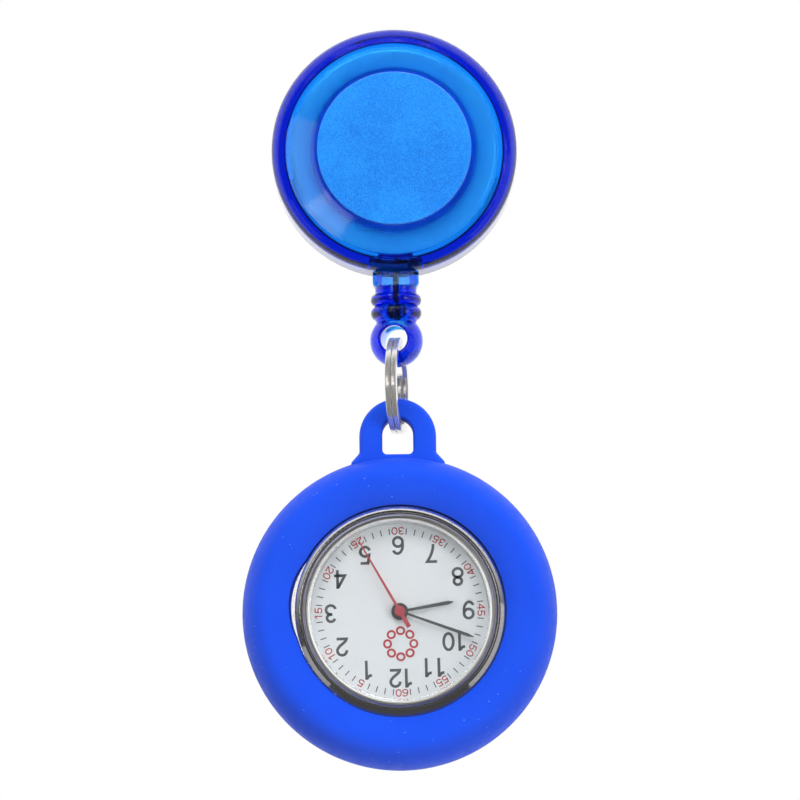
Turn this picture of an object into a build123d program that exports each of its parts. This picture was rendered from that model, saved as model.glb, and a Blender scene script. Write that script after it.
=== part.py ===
from build123d import *
from math import acos, cos, pi, radians, sin, sqrt, tan
import os

# A fob watch: a swivel clip, a retractable reel, a cord with its bead, a split ring and a
# quartz watch in a silicone case that hangs upside down, so that its wearer reads it.
# Millimetres. X is to the right, Z is up, and the front faces -Y. The origin is on the axis
# of the swivel rivet, where it comes out of the garment side of the clip's base plate.
# Depths are measured forwards from that plane, along -Y.

os.makedirs("parts", exist_ok=True)

# The hanging line, as heights from the reel's centre
LINE_DEPTH = 5.6
NECK_BOTTOM = -17.6
BEAD_TOP = -17.7
KNOT_TOP = -19.8
EYE_HEIGHT = -24.7
RING_HEIGHT = -30.58
BAIL_TOP = -32.4
WATCH_HEIGHT = -60.4

# Clip
BASE_THICKNESS = 0.7
BASE_HALF_WIDTH = 4.5
BASE_TAIL = 12.5
JAW_END = -13.5
LEVER_THICKNESS = 0.6
LEVER_HALF_WIDTH = 3.7
PIN_HEIGHT = 4.5
PIN_STANDOFF = 2.9
PIN_RADIUS = 0.8
PIVOT_GAP = 0.05
COIL_RADIUS = 1.35
WIRE_RADIUS = 0.3

# Reel
REEL_RADIUS = 16.0
REEL_BACK = 1.2
REEL_WALL = 1.9
LAP = 0.7
PARTING = LINE_DEPTH
FLOOR_TOP = 2.4
COVER_INSIDE = 9.1
POST_RADIUS = 3.4
POST_END = 7.6
POST_BORE = 2.45
RIVET_RADIUS = 1.25

# Drum and cord
DRUM_BORE = 3.5
DRUM_RADIUS = 13.7
CORE_INSIDE = 9.4
CORE_RADIUS = 10.4
GROOVE_LOW = 3.3
GROOVE_HIGH = 7.7
CORD_DIAMETER = 0.8
CORD_LAYERS = 2

# Bead and ring
EYE_RADIUS = 1.75
BALL_RADIUS = 3.45
BALL_HALF_DEPTH = 2.7
RING_TURN = -8.0
RING_RADIUS = 5.65
RING_WALL = 1.3
RING_STRIP = 0.7
RING_PITCH = 0.76

# Silicone case and watch head, as radii and depths
SILICONE_RADIUS = 20.45
SILICONE_BACK = 0.9
SILICONE_CROWN = 10.35
BACK_OPENING = 12.0
FRONT_OPENING = 13.85
FLANK_FOOT = 13.6
HEAD_RADIUS = 15.2
HEAD_BACK = 1.9
SHOULDER = 9.0
SHOULDER_EDGE = 8.7
CAVITY_RADIUS = 12.6
CRYSTAL_RADIUS = 11.7
STEM_DEPTH = 5.2
STEM_RADIUS = 0.5
CROWN_RADIUS = 1.75
CROWN_NEAR = 15.45
CROWN_LENGTH = 2.0
CROWN_PULL = 1.0
BAIL_HALF_WIDTH = 5.0
BAIL_THICKNESS = 3.5

# Movement
DIAL_RADIUS = 12.4
DIAL_LOW = 7.2
DIAL_TOP = 7.6
PLATE_LOW = 5.9
PLATE_TOP = 6.5
BRIDGE_LOW = 4.3
BRIDGE_TOP = 4.55
BOARD_LOW = 4.0
MOVEMENT_WIDTH = 18.0
MOVEMENT_HEIGHT = 16.4
MOVEMENT_CORNER = 3.0
ARBOR_RADIUS = 0.12
SECONDS_ARBOR = 0.15
CANNON_BORE = 0.2
CANNON_RADIUS = 0.42
PIPE_BORE = 0.47
PIPE_RADIUS = 0.75
BATTERY_RADIUS = 3.4
BATTERY_PLACE = (4.53, -4.53)
PILLARS = ((-3.6, 0.3), (3.2, 3.0), (0.2, -5.2))
TRAIN_DISTANCE = 3.06
THIRD_DIRECTION = 110.0
INTERMEDIATE_DISTANCE = 3.15
INTERMEDIATE_DIRECTION = 225.0
ROTOR_DISTANCE = 1.92
ROTOR_DIRECTION = 270.0
MOTION_DISTANCE = 2.4
MOTION_DIRECTION = 200.0

# Where the hands point, in degrees clockwise from twelve
HOUR_ANGLE = 260.4
MINUTE_ANGLE = 290.0
SECOND_ANGLE = 150.4

ON_BASE = (Align.CENTER, Align.CENTER, Align.MIN)
REEL_FRAME = Plane(origin=(0, 0, 0), x_dir=(1, 0, 0), z_dir=(0, -1, 0)).location
WATCH_FRAME = Plane(origin=(0, 0, WATCH_HEIGHT), x_dir=(-1, 0, 0), z_dir=(0, -1, 0)).location


def save(name, solid):
    export_step(solid, f"parts/{name}.step")


def disc(radius, low, high, bore=0.0, place=(0, 0)):
    """A disc or sleeve round the local Z axis, between two depths."""
    solid = Cylinder(radius, high - low, align=ON_BASE)
    if bore:
        solid -= Cylinder(bore, high - low, align=ON_BASE)
    return Pos(place[0], place[1], low) * solid


def block(x_span, y_span, z_span):
    """A box between two x, two y and two z values."""
    sizes = [span[1] - span[0] for span in (x_span, y_span, z_span)]
    return Pos(x_span[0], y_span[0], z_span[0]) * Box(*sizes, align=(Align.MIN,) * 3)


def turned(*points, rounding=None):
    """A solid of revolution from (radius, height) points, with a rounding for some of them."""
    if rounding:
        radii = [rounding.get(index, 0.0) for index in range(len(points))]
        outline = FilletPolyline(*points, radius=radii, close=True)
    else:
        outline = Polyline(*points, close=True)
    return revolve(Plane.XZ * make_face(outline), Axis.Z)


def prism(points, low, high):
    """A flat shape with straight sides, between two depths."""
    return Pos(0, 0, low) * extrude(make_face(Polyline(*points, close=True)), high - low)


def at(distance, direction, start=(0, 0)):
    """The point at a distance and a direction in degrees from another one."""
    angle = radians(direction)
    return start[0] + distance * cos(angle), start[1] + distance * sin(angle)


# ---------------------------------------------------------------- clip

def clip_base():
    """The plate against the reel, with the fixed jaw's teeth and two ears for the pin."""
    ear_low, ear_high, ear_top = 1.5, 6.5, 4.2
    jaw_thickness = 0.6
    jaw_top = 1.5
    plate = block((-BASE_HALF_WIDTH, BASE_HALF_WIDTH), (-BASE_THICKNESS, 0), (JAW_END, BASE_TAIL))
    plate = fillet(plate.edges().filter_by(Axis.Y), 1.5)
    plate += jaw_teeth(0.0, jaw_top, JAW_END, jaw_thickness)
    for side in (-1, 1):
        inner, outer = sorted((side * (LEVER_HALF_WIDTH + 0.1), side * BASE_HALF_WIDTH))
        plate += block((inner, outer), (-BASE_THICKNESS, ear_top), (ear_low, ear_high))
    plate -= cross_hole(PIN_RADIUS + PIVOT_GAP, BASE_HALF_WIDTH)
    return plate - Rot(90, 0, 0) * Cylinder(RIVET_RADIUS, 4 * BASE_THICKNESS)


def jaw_teeth(low, high, end, thickness):
    """A lip across the jaw, notched along the edge that grips."""
    half_width = 3.0
    notch_pitch, notch_depth = 1.0, 0.4
    edge, root = (high, high - notch_depth) if low == 0.0 else (low, low + notch_depth)
    lip = block((-half_width, half_width), (low, high), (end, end + thickness))
    for index in range(6):
        middle = -half_width + (index + 0.5) * notch_pitch
        outline = [(middle - 0.3, edge), (middle, root), (middle + 0.3, edge)]
        lip -= Pos(0, 0, end) * extrude(make_face(Polyline(*outline, close=True)), thickness)
    return lip


def cross_hole(radius, half_length):
    """A round bar along X through the lever's pivot, used as a pin or as a cutter."""
    return Pos(0, PIN_STANDOFF, PIN_HEIGHT) * Rot(0, 90, 0) * Cylinder(radius, 2 * half_length)


def side_strip(points, half_width, radii):
    """A shape drawn as (height, depth behind the base) and given a width along X."""
    outline = FilletPolyline(*points, radius=radii, close=True)
    plane = Plane(origin=(0, 0, 0), x_dir=(0, 0, 1), z_dir=(-1, 0, 0))
    return extrude(plane * make_face(outline), half_width, both=True)


def clip_lever():
    """The sprung strip, bent up to the thumb tail and down to the moving jaw."""
    inner = [(JAW_END, 2.3), (-11.0, 3.3), (2.0, 4.75), (6.0, 5.1), (13.0, 7.1)]
    outer = [(height, depth + LEVER_THICKNESS) for height, depth in reversed(inner)]
    lever = side_strip(inner + outer, LEVER_HALF_WIDTH, [0, 4, 6, 6, 0, 0, 6, 6, 4, 0])
    flange_span, flange_foot, flange_thickness = (2.2, 6.8), 1.8, 0.7
    for side in (-1, 1):
        inside, outside = sorted((side * (LEVER_HALF_WIDTH - flange_thickness), side * LEVER_HALF_WIDTH))
        lever += block((inside, outside), (flange_foot, 5.0), flange_span)
    lever += jaw_teeth(1.8, 2.9, JAW_END, LEVER_THICKNESS)
    return lever - cross_hole(PIN_RADIUS + PIVOT_GAP, LEVER_HALF_WIDTH)


def clip_pin():
    """The pivot pin, with a peened head outside each ear."""
    head_radius, head_thickness = 1.2, 0.4
    pin = cross_hole(PIN_RADIUS, BASE_HALF_WIDTH + head_thickness)
    pin += cross_hole(head_radius, BASE_HALF_WIDTH + head_thickness)
    return pin - cross_hole(head_radius, BASE_HALF_WIDTH) + cross_hole(PIN_RADIUS, BASE_HALF_WIDTH)


def clip_spring():
    """The torsion spring: a coil round the pin, with a leg to the base and a leg to the lever."""
    turns = 4
    pitch = 2 * WIRE_RADIUS + 0.06
    start = Pos(-turns * pitch / 2, PIN_STANDOFF, PIN_HEIGHT)
    helix = Helix(pitch=pitch, height=turns * pitch, radius=COIL_RADIUS)
    section = Plane(origin=helix @ 0, z_dir=helix % 0) * Circle(WIRE_RADIUS)
    coil = start * Rot(0, 90, 0) * sweep(section, path=helix, is_frenet=True)
    leg_end, base_end, lever_end = 11.2, WIRE_RADIUS + 0.05, 6.05
    legs = (
        ((-turns * pitch / 2, PIN_STANDOFF - COIL_RADIUS, PIN_HEIGHT), base_end),
        ((turns * pitch / 2, PIN_STANDOFF + COIL_RADIUS, PIN_HEIGHT), lever_end),
    )
    for foot, end_depth in legs:
        path = Line(foot, (foot[0], end_depth, leg_end))
        coil += sweep(Plane(origin=path @ 0, z_dir=path % 0) * Circle(WIRE_RADIUS), path=path)
    return coil


def swivel_rivet():
    """The rivet that the reel turns on, its inner head inside the reel's post."""
    garment_head, garment_thickness = 2.1, 0.5
    inner_head, inner_low, inner_high = 2.2, 2.45, 3.05
    return turned(
        (0, -garment_thickness), (garment_head, -garment_thickness), (garment_head, 0), (RIVET_RADIUS, 0),
        (RIVET_RADIUS, inner_low), (inner_head, inner_low), (inner_head, inner_high), (0, inner_high),
        rounding={1: 0.4, 6: 0.4},
    )


def swivel_washer():
    """The thin nylon washer between the base plate and the reel."""
    return disc(4.0, BASE_THICKNESS, REEL_BACK - PIVOT_GAP, bore=RIVET_RADIUS + PIVOT_GAP)


# ---------------------------------------------------------------- reel

def reel_back_cover():
    """The back shell with the post that the drum turns on, and the back half of the neck."""
    wall_inside, lap_inside = REEL_RADIUS - REEL_WALL, REEL_RADIUS - LAP
    cover = turned(
        (RIVET_RADIUS + PIVOT_GAP, REEL_BACK), (REEL_RADIUS, REEL_BACK), (REEL_RADIUS, PARTING),
        (lap_inside, PARTING), (lap_inside, PARTING - 0.85), (wall_inside, PARTING - 0.85),
        (wall_inside, FLOOR_TOP), (POST_RADIUS, FLOOR_TOP), (POST_RADIUS, POST_END),
        (POST_BORE, POST_END), (POST_BORE, FLOOR_TOP), (RIVET_RADIUS + PIVOT_GAP, FLOOR_TOP),
        rounding={1: 1.2},
    )
    return cover + neck_block(3.0, (3.0, PARTING)) - cord_outlet()


def neck_block(half_width, depths):
    """One half of the short neck under the rim, where the cord comes out."""
    neck = block((-half_width, half_width), (NECK_BOTTOM, -(REEL_RADIUS - 0.5)), depths)
    corners = neck.edges().filter_by(Axis.Z).sort_by(Axis.Y)[:2]
    return fillet(corners, 0.6)


def cord_outlet():
    """The cutter for the cord's way out: a flared mouth in the wall and a channel in the neck."""
    mouth_top, mouth_half_width, mouth_bottom = -13.8, 3.4, -16.2
    mouth_half_depth, channel_half_width, channel_half_depth = 0.9, 1.8, 1.4
    depths = (PARTING - mouth_half_depth, PARTING + mouth_half_depth)
    mouth = prism(
        [(-mouth_half_width, mouth_top), (mouth_half_width, mouth_top),
         (channel_half_width, mouth_bottom), (-channel_half_width, mouth_bottom)], *depths)
    channel_depths = (PARTING - channel_half_depth, PARTING + channel_half_depth)
    channel = block((-channel_half_width, channel_half_width), (NECK_BOTTOM, mouth_bottom), channel_depths)
    return mouth + channel


def reel_front_cover():
    """The front shell: a raised disc in a fine groove, a round shoulder, and a rib over the drum."""
    disc_radius, disc_face, groove_radius, groove_floor = 10.05, 10.6, 10.4, 10.35
    slope_start, slope_end = 10.5, 9.7
    wall_inside, spigot_outside = REEL_RADIUS - REEL_WALL, REEL_RADIUS - LAP - 0.05
    rib_inside, rib_outside, rib_end = 10.1, 10.8, 8.6
    neck_gap = 0.04
    cover = turned(
        (0, disc_face), (disc_radius, disc_face), (disc_radius, groove_floor), (groove_radius, groove_floor),
        (groove_radius, slope_start), (REEL_RADIUS, slope_end), (REEL_RADIUS, PARTING),
        (spigot_outside, PARTING), (spigot_outside, PARTING - 0.8), (wall_inside, PARTING - 0.8),
        (wall_inside, COVER_INSIDE), (rib_outside, COVER_INSIDE), (rib_outside, rib_end),
        (rib_inside, rib_end), (rib_inside, COVER_INSIDE), (0, COVER_INSIDE),
        rounding={1: 0.12, 5: 2.4, 10: 1.5},
    )
    return cover + neck_block(2.6, (PARTING + neck_gap, 8.0)) - cord_outlet()


def cord_drum():
    """The drum: a closed front wall with a hub on the post, a core round the spring, a back flange."""
    front_face, back_face, hub_radius, hub_end, bore_end = 8.5, 2.7, 4.3, 6.9, 7.7
    return turned(
        (0, front_face), (DRUM_RADIUS, front_face), (DRUM_RADIUS, GROOVE_HIGH),
        (CORE_RADIUS, GROOVE_HIGH), (CORE_RADIUS, GROOVE_LOW), (DRUM_RADIUS, GROOVE_LOW),
        (DRUM_RADIUS, back_face), (CORE_INSIDE, back_face), (CORE_INSIDE, GROOVE_HIGH),
        (hub_radius, GROOVE_HIGH), (hub_radius, hub_end), (DRUM_BORE, hub_end), (DRUM_BORE, bore_end),
        (0, bore_end),
    )


def cord_winding():
    """The wound cord, as the sleeve that its layers fill."""
    outside = CORE_RADIUS + CORD_LAYERS * CORD_DIAMETER
    return disc(outside, GROOVE_LOW + 0.1, GROOVE_HIGH - 0.1, bore=CORE_RADIUS)


def spiral_spring():
    """The return spring: a flat strip wound from the post out to the drum's core."""
    turns, strip, steps_per_turn = 9, 0.14, 16
    first, last = POST_RADIUS + 0.02, CORE_INSIDE - strip - 0.04
    low, high = 2.9, 6.8
    steps = turns * steps_per_turn
    turn_step = 2 * pi / steps_per_turn

    def edge(offset):
        radii = [first + offset + (last - first) * step / steps for step in range(steps + 1)]
        return Spline(*[(radius * cos(step * turn_step), radius * sin(step * turn_step))
                        for step, radius in enumerate(radii)])

    inside, outside = edge(0.0), edge(strip)
    ends = Line(inside @ 0, outside @ 0) + Line(inside @ 1, outside @ 1)
    return Pos(0, 0, low) * extrude(make_face(inside + ends + outside), high - low)


# ---------------------------------------------------------------- cord, bead and ring

def cord_route():
    """The cord's points as (x, height) from the winding's outer layer to the knot."""
    layer = CORE_RADIUS + (CORD_LAYERS - 0.5) * CORD_DIAMETER
    corner = (0.0, -16.5)
    first_run = 4.4
    leave = acos(layer / -corner[1])
    tangent = (layer * sin(leave), -layer * cos(leave))
    way = sqrt((tangent[0] - corner[0]) ** 2 + (tangent[1] - corner[1]) ** 2)
    clear = first_run / way
    start = tuple(tangent[axis] + (corner[axis] - tangent[axis]) * clear for axis in (0, 1))
    return start, corner, (0.0, KNOT_TOP)


def cord_run():
    """The free cord from the winding through the neck to the knot, bent over the outlet's edge."""
    start, corner, end = [Vector(x, -LINE_DEPTH, height) for x, height in cord_route()]
    turn = (corner - start).get_angle(end - corner)
    shorter = min((corner - start).length, (end - corner).length)
    share_of_run = 0.45
    radius = share_of_run * shorter / tan(radians(turn) / 2)
    path = FilletPolyline(start, corner, end, radius=radius)
    tube = sweep(Plane(origin=path @ 0, z_dir=path % 0) * Circle(CORD_DIAMETER / 2), path=path)
    expected = pi * (CORD_DIAMETER / 2) ** 2 * path.length
    print(f"cord bend radius {radius:.2f} mm, tube volume {tube.volume:.3f}, expected {expected:.3f}")
    return tube


def cord_knot():
    """The knot that the bead rests on."""
    half_width, half_height, flat = 1.35, 0.95, 0.05
    knot = scale(Sphere(half_width), by=(1, 1, half_height / half_width))
    knot = Pos(0, -LINE_DEPTH, KNOT_TOP - half_height + flat) * knot
    top = Pos(0, -LINE_DEPTH, KNOT_TOP) * Box(3, 3, 1, align=ON_BASE)
    return knot - top


def cord_bead():
    """The bead: a collar, two ribs, and a flattened ball with the eye across it."""
    collar, rib = 2.7, 3.3
    rib_heights = (-19.4, -21.1)
    collar_end, valley, waist = -18.55, -20.2, -22.0
    ball_start = -22.4
    ball_start_radius = sqrt(BALL_RADIUS ** 2 - (ball_start - EYE_HEIGHT) ** 2)
    ball_end = EYE_HEIGHT - BALL_RADIUS
    outline = (
        Polyline((0, ball_end), (0, BEAD_TOP), (collar, BEAD_TOP), (collar, collar_end))
        + ThreePointArc((collar, collar_end), (rib, rib_heights[0]), (collar, valley))
        + ThreePointArc((collar, valley), (rib, rib_heights[1]), (collar, waist))
        + Line((collar, waist), (ball_start_radius, ball_start))
        + ThreePointArc((ball_start_radius, ball_start), (BALL_RADIUS, EYE_HEIGHT), (0, ball_end))
    )
    bead = revolve(Plane.XZ * make_face(outline), Axis.Z)
    for side in (-1, 1):
        depths = sorted((side * BALL_HALF_DEPTH, side * 2 * BALL_HALF_DEPTH))
        bead -= block((-5, 5), depths, (ball_end - 1, ball_start + 0.15))
    eye = Pos(0, 0, EYE_HEIGHT) * Rot(90, 0, 0) * Cylinder(EYE_RADIUS, 4 * BALL_HALF_DEPTH)
    bead -= eye
    rims = [edge for edge in bead.edges().filter_by(GeomType.CIRCLE)
            if abs(edge.radius - EYE_RADIUS) < 0.001 and abs(abs(edge.center().Y) - BALL_HALF_DEPTH) < 0.01]
    bead = fillet(rims, 0.3)
    bore, chamber, chamber_top, chamber_end = 0.65, 1.5, -19.7, -23.6
    bead -= disc(bore, chamber_top - 0.1, BEAD_TOP + 0.1)
    bead -= disc(chamber, chamber_end, chamber_top)
    return Pos(0, -LINE_DEPTH, 0) * Rot(0, 0, RING_TURN) * bead


def split_ring():
    """The split ring: two turns of flat wire side by side, its plane across the bead's eye."""
    turns = 2
    helix = Helix(pitch=RING_PITCH, height=turns * RING_PITCH, radius=RING_RADIUS)
    section = Plane(origin=helix @ 0, x_dir=(1, 0, 0), z_dir=helix % 0) * Rectangle(RING_WALL, RING_STRIP)
    ring = Pos(0, 0, -turns * RING_PITCH / 2) * sweep(section, path=helix, is_frenet=True)
    turn = radians(RING_TURN)
    front, normal = (sin(turn), -cos(turn), 0), (cos(turn), sin(turn), 0)
    return Plane(origin=(0, -LINE_DEPTH, RING_HEIGHT), x_dir=front, z_dir=normal).location * ring


# ---------------------------------------------------------------- silicone case and watch head

def shoulder_depth(radius):
    """How far forward the case's sloping shoulder is at a radius."""
    return SHOULDER - (SHOULDER - SHOULDER_EDGE) * (radius - FLANK_FOOT) / (HEAD_RADIUS - FLANK_FOOT)


def silicone_ring():
    """The soft ring round the head: domed front, rounded rim, flat back and a groove for the head."""
    crown_radius, back_flat, lip_top = 17.3, 17.6, 9.5
    groove = HEAD_RADIUS + 0.05
    crown = (crown_radius, SILICONE_CROWN)
    front_reach, front_rise = SILICONE_RADIUS - crown_radius, SILICONE_CROWN - LINE_DEPTH
    back_reach, back_rise = SILICONE_RADIUS - back_flat, LINE_DEPTH - SILICONE_BACK
    dome_drop = SILICONE_CROWN - lip_top
    dome_radius = ((crown_radius - FRONT_OPENING) ** 2 + dome_drop ** 2) / (2 * dome_drop)
    dome_centre = SILICONE_CROWN - dome_radius
    half_way = (crown_radius + FRONT_OPENING) / 2
    dome_middle = dome_centre + sqrt(dome_radius ** 2 - (crown_radius - half_way) ** 2)
    outline = (
        Polyline((back_flat, SILICONE_BACK), (BACK_OPENING, SILICONE_BACK), (BACK_OPENING, HEAD_BACK),
                 (groove, HEAD_BACK), (groove, shoulder_depth(groove)),
                 (FRONT_OPENING, shoulder_depth(FRONT_OPENING)), (FRONT_OPENING, lip_top))
        + ThreePointArc((FRONT_OPENING, lip_top), (half_way, dome_middle), crown)
        + EllipticalCenterArc((crown_radius, LINE_DEPTH), front_reach, front_rise, 0, arc_size=90)
        + EllipticalCenterArc((back_flat, LINE_DEPTH), back_reach, back_rise, 270, arc_size=90)
    )
    return revolve(Plane.XZ * make_face(outline), Axis.Z)


def silicone_bail():
    """The flat bail that the split ring goes through, with its D-shaped hole."""
    shoulder_half_width = 6.1
    top = BAIL_TOP - WATCH_HEIGHT
    round_centre = -(top - BAIL_HALF_WIDTH)
    neck, shoulder, root = -20.9, -19.7, -16.0
    low, high = LINE_DEPTH - BAIL_THICKNESS / 2, LINE_DEPTH + BAIL_THICKNESS / 2
    bail = disc(BAIL_HALF_WIDTH, low, high, place=(0, round_centre))
    bail += prism([(-BAIL_HALF_WIDTH, round_centre), (BAIL_HALF_WIDTH, round_centre), (BAIL_HALF_WIDTH, neck),
                   (shoulder_half_width, shoulder), (shoulder_half_width, root),
                   (-shoulder_half_width, root), (-shoulder_half_width, shoulder), (-BAIL_HALF_WIDTH, neck)],
                  low, high)
    sides = [edge for edge in bail.edges().filter_by(Axis.Z) if neck - 0.1 < edge.center().Y < shoulder + 0.1]
    bail = fillet(sides, 0.6)
    hole_half_width, hole_top, hole_bottom = 2.0, -25.42, -20.7
    hole = disc(hole_half_width, low, high, place=(0, hole_top + hole_half_width))
    hole += block((-hole_half_width, hole_half_width), (hole_top + hole_half_width, hole_bottom), (low, high))
    hole = fillet(hole.edges().filter_by(Axis.Z).sort_by(Axis.Y)[-2:], 0.6)
    flat_faces = bail.faces().sort_by(Axis.Z)
    bail = fillet(flat_faces[0].edges() + flat_faces[-1].edges(), 0.8) - hole
    rims = [edge for face in (bail.faces().sort_by(Axis.Z)[0], bail.faces().sort_by(Axis.Z)[-1])
            for wire in face.inner_wires() for edge in wire.edges()]
    return fillet(rims, 0.4)


def silicone_case():
    """The silicone case in one piece, lifted a little at three o'clock, where the crown lies under it."""
    case = silicone_ring() + silicone_bail()
    lift_radius, lift_reach, lift_shift = 9.2, HEAD_RADIUS - 0.8, -0.65
    case -= disc(lift_radius, SHOULDER_EDGE, SILICONE_CROWN, place=(lift_reach - lift_radius, lift_shift))
    pocket_end = CROWN_NEAR + CROWN_LENGTH + CROWN_PULL + 0.3
    return case - stem_bar(CROWN_RADIUS + 0.4, HEAD_RADIUS - 0.5, pocket_end)


def stem_bar(radius, near, far):
    """A round bar along the stem's axis, towards three o'clock."""
    return Pos(near, 0, STEM_DEPTH) * Rot(0, 90, 0) * Cylinder(radius, far - near, align=ON_BASE)


def watch_case():
    """The plated case: shoulder, sloping flank, a fine groove, the polished bezel and crystal seat."""
    flank_low, flank_top, flank_high, groove_depth = 9.5, 13.0, 9.95, 9.7
    lip_inside = 12.72
    bezel_outside, bezel_top = 12.53, 10.3
    seat_radius, seat_lip, seat_thickness = CRYSTAL_RADIUS + 0.25, 11.65, 0.4
    back_recess, recess_top = CAVITY_RADIUS + 0.45, HEAD_BACK + 1.0
    case = turned(
        (back_recess, HEAD_BACK), (HEAD_RADIUS, HEAD_BACK), (HEAD_RADIUS, SHOULDER_EDGE),
        (FLANK_FOOT, SHOULDER), (FLANK_FOOT, flank_low), (flank_top, flank_high), (lip_inside, flank_high),
        (lip_inside, groove_depth), (bezel_outside, groove_depth),
        (bezel_outside, bezel_top), (seat_radius, bezel_top), (seat_radius, SHOULDER), (seat_lip, SHOULDER),
        (seat_lip, SHOULDER - seat_thickness), (CAVITY_RADIUS, SHOULDER - seat_thickness),
        (CAVITY_RADIUS, recess_top), (back_recess, recess_top),
        rounding={1: 0.6, 4: 0.08, 5: 0.25, 6: 0.16, 9: 0.25, 10: 0.3},
    )
    case -= stem_bar(STEM_RADIUS + 0.1, CAVITY_RADIUS - 1, HEAD_RADIUS + 1)
    return case - stem_bar(1.0, HEAD_RADIUS - 0.7, HEAD_RADIUS + 1)


def case_back():
    """The snap-in back plate."""
    return disc(CAVITY_RADIUS + 0.4, HEAD_BACK, HEAD_BACK + 0.5)


def case_back_gasket():
    return disc(CAVITY_RADIUS + 0.4, HEAD_BACK + 0.5, HEAD_BACK + 1.0, bore=CAVITY_RADIUS + 0.02)


def crystal():
    """The mineral crystal, with a fine bevel."""
    top = 10.1
    return turned((0, SHOULDER), (CRYSTAL_RADIUS, SHOULDER), (CRYSTAL_RADIUS, top), (0, top),
                  rounding={2: 0.2})


def crystal_gasket():
    return disc(CRYSTAL_RADIUS + 0.25, SHOULDER, 9.85, bore=CRYSTAL_RADIUS)


def rehaut_ring():
    """The sloping ring between the dial's edge and the crystal's seat."""
    inside_low, inside_high, outside = 11.45, 11.65, CAVITY_RADIUS - 0.1
    return turned((inside_low, DIAL_TOP), (outside, DIAL_TOP), (outside, SHOULDER - 0.4),
                  (inside_high, SHOULDER - 0.4))


def dial():
    return disc(DIAL_RADIUS, DIAL_LOW, DIAL_TOP, bore=0.9)


def movement_outline(margin, low, high):
    """A rounded rectangle of the movement's outline, grown by a margin."""
    width = MOVEMENT_WIDTH + 2 * margin
    height = MOVEMENT_HEIGHT + 2 * margin
    outline = RectangleRounded(width, height, MOVEMENT_CORNER + margin)
    return Pos(0, 0, low) * extrude(outline, high - low)


def movement_holder():
    """The plastic ring that centres the movement in the case and holds the dial up."""
    low = HEAD_BACK + 0.6
    holder = disc(CAVITY_RADIUS - 0.1, low, DIAL_LOW) - movement_outline(0.05, low, DIAL_LOW)
    return holder - stem_bar(STEM_RADIUS + 0.2, MOVEMENT_WIDTH / 2 - 1, CAVITY_RADIUS)


def crown():
    """The fluted crown, screwed on the stem's end."""
    flutes, flute_radius = 20, 0.16
    body = stem_bar(CROWN_RADIUS, CROWN_NEAR, CROWN_NEAR + CROWN_LENGTH)
    body = fillet(body.edges().filter_by(GeomType.CIRCLE), 0.2)
    for index in range(flutes):
        across, deep = at(CROWN_RADIUS, index * 360 / flutes)
        body -= Pos(0, across, deep) * stem_bar(flute_radius, CROWN_NEAR, CROWN_NEAR + CROWN_LENGTH)
    return body - stem_bar(STEM_RADIUS, CROWN_NEAR, CROWN_NEAR + 1.2)


def crown_gasket():
    """The ring that seals the stem in the case's wall."""
    near, far = HEAD_RADIUS - 0.7, HEAD_RADIUS - 0.2
    return stem_bar(1.0, near, far) - stem_bar(STEM_RADIUS + 0.04, near, far)


def winding_stem():
    """The stem, with a groove that the setting lever holds."""
    groove_near, groove_far, groove_radius = 6.2, 6.8, 0.3
    stem = stem_bar(STEM_RADIUS, 4.5, groove_near) + stem_bar(STEM_RADIUS, groove_far, CROWN_NEAR + 1.2)
    return stem + stem_bar(groove_radius, groove_near, groove_far)


def setting_lever():
    """The lever whose fork sits in the stem's groove and moves with it."""
    fork = block((6.3, 6.7), (-0.9, 1.8), (4.65, 5.8)) - stem_bar(0.34, 6.0, 7.0)
    fork -= block((6.3, 6.7), (-0.9, 0.0), (STEM_DEPTH - 0.34, STEM_DEPTH + 0.34))
    return fork + block((5.0, 6.7), (1.2, 1.8), (5.3, 5.8))


# ---------------------------------------------------------------- hands

def hand(length, root_width, wide_width, tip_width, wide_share, low, high):
    """A flat hand that widens towards its tip and then narrows to it, pointing at twelve."""
    root, wide, tip = root_width / 2, wide_width / 2, tip_width / 2
    wide_at = length * wide_share
    return prism([(-root, 0), (-wide, wide_at), (-tip, length), (tip, length), (wide, wide_at), (root, 0)],
                 low, high)


def hour_hand():
    low, high, hub_radius = 8.0, 8.15, 1.1
    shape = hand(7.05, 0.3, 0.48, 0.12, 0.9, low, high) + disc(hub_radius, low, high)
    return Rot(0, 0, -HOUR_ANGLE) * (shape - disc(PIPE_RADIUS, low, high))


def minute_hand():
    low, high, hub_radius = 8.3, 8.45, 0.85
    shape = hand(10.15, 0.26, 0.42, 0.1, 0.92, low, high) + disc(hub_radius, low, high)
    return Rot(0, 0, -MINUTE_ANGLE) * (shape - disc(CANNON_RADIUS, low, high))


def second_hand():
    """The second hand with its tail, and a raised cap over the end of the arbor."""
    low, high, hub_radius = 8.6, 8.72, 0.68
    cap_radius, cap_top = 0.34, 8.85
    tail_length, tail_half_width = 2.4, 0.27
    shape = hand(10.55, 0.38, 0.17, 0.15, 0.95, low, high) + disc(hub_radius, low, high)
    shape += block((-tail_half_width, tail_half_width), (-tail_length, 0), (low, high))
    shape += disc(cap_radius, high, cap_top)
    return Rot(0, 0, -SECOND_ANGLE) * (shape - disc(SECONDS_ARBOR, low, high))


# ---------------------------------------------------------------- movement

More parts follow.
